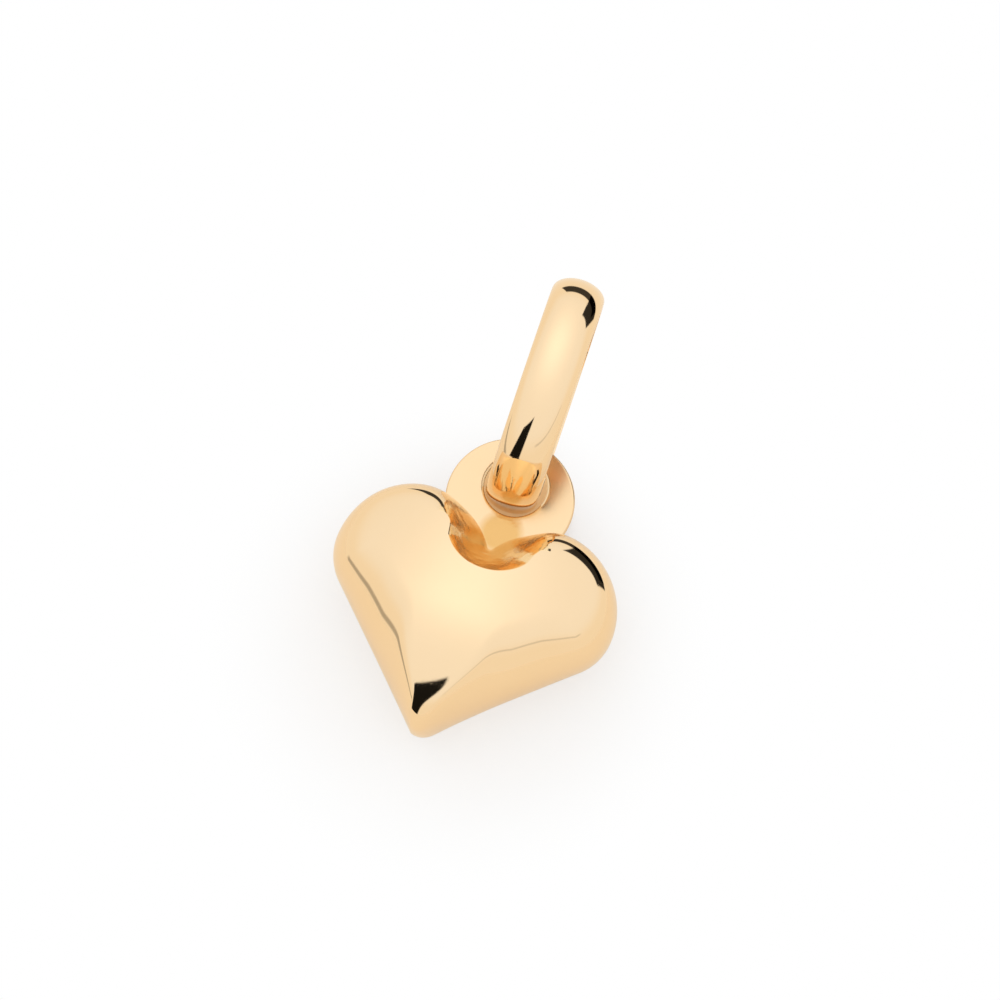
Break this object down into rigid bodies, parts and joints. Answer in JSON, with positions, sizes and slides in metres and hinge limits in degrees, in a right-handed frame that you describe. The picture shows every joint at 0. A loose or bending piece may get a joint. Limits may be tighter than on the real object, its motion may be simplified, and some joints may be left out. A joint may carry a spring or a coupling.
{
  "type": "heart pendant",
  "caption": "Puffed gold heart pendant with a plain polished face, a flat back, a round eyelet soldered into the cleft and a loose oval bail that swings in it.",
  "frame": {"origin": "middle of the heart's flat back, which the pendant lies on", "axes": "+X from lobe to lobe, +Y from the heart's tip to its cleft and on to the bail, +Z out of the face"},
  "size_m": [0.01, 0.0162, 0.0072],
  "materials": {
    "heart_gold": "mirror polished gold",
    "eyelet_gold": "polished gold plate",
    "bail_gold": "mirror polished gold"
  },
  "bodies": {
    "heart": {"heart": "heart_gold", "eyelet": "eyelet_gold"},
    "bail": {"bail": "bail_gold"}
  },
  "joints": [
    {"name": "bail_swing", "type": "hinge", "parent": "heart", "child": "bail", "pos_m": [-0.00012, 0.00657, 0.00227], "axis": [0.9941, 0.0567, -0.0924], "range_deg": [-88, 18]}
  ]
}
